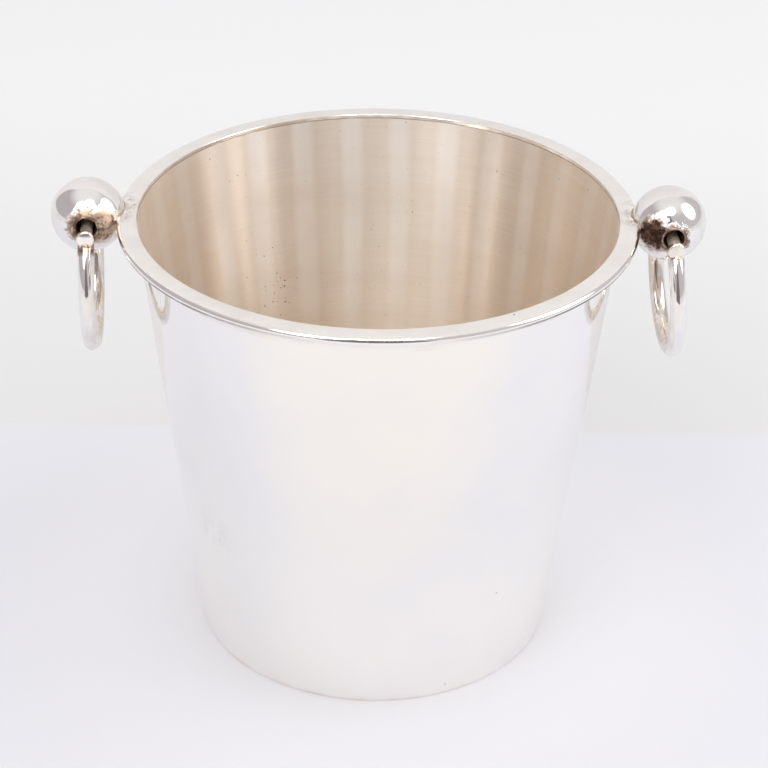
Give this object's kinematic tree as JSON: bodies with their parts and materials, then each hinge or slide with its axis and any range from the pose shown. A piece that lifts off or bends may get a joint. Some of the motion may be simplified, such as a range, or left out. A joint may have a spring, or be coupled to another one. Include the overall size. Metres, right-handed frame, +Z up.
{
  "type": "champagne bucket",
  "caption": "Tapered silver-plated champagne bucket with a flat-topped, coved rim and a C-shaped ring handle hanging from a hollow ball lug at either side.",
  "frame": {"origin": "centre of the underside, on the surface that the bucket stands on", "axes": "+Z up out of the mouth; +X through the two ball lugs, from the left handle to the right one; -Y towards the viewer"},
  "size_m": [0.2794, 0.2222, 0.2129],
  "materials": {
    "silver_outside": "polished",
    "silver_inside": "satin",
    "silver_handle": "polished",
    "silver_worn": "satin"
  },
  "bodies": {
    "root": {"body_wall": "silver_outside", "bottom_plate": "silver_inside", "foot_wire": "silver_outside", "rim_moulding": "silver_outside", "left_ball_front_half": "silver_handle", "left_ball_rear_half": "silver_handle", "left_pin_sleeve": "silver_worn", "right_ball_front_half": "silver_handle", "right_ball_rear_half": "silver_handle", "right_pin_sleeve": "silver_worn"},
    "left_handle": {"left_pivot_pin": "silver_worn", "left_front_cap": "silver_handle", "left_rear_cap": "silver_handle", "left_ring": "silver_handle"},
    "right_handle": {"right_pivot_pin": "silver_worn", "right_front_cap": "silver_handle", "right_rear_cap": "silver_handle", "right_ring": "silver_handle"}
  },
  "joints": [
    {"name": "left_ring_swing", "type": "hinge", "parent": "root", "child": "left_handle", "pos_m": [-0.1238, -0.00005, 0.1955], "axis": [-0.061, 0.9975, -0.0349], "range_deg": [-22, 236]},
    {"name": "right_ring_swing", "type": "hinge", "parent": "root", "child": "right_handle", "pos_m": [0.1238, 0.00005, 0.1955], "axis": [0.061, -0.9975, -0.0349], "range_deg": [-25, 232]}
  ]
}
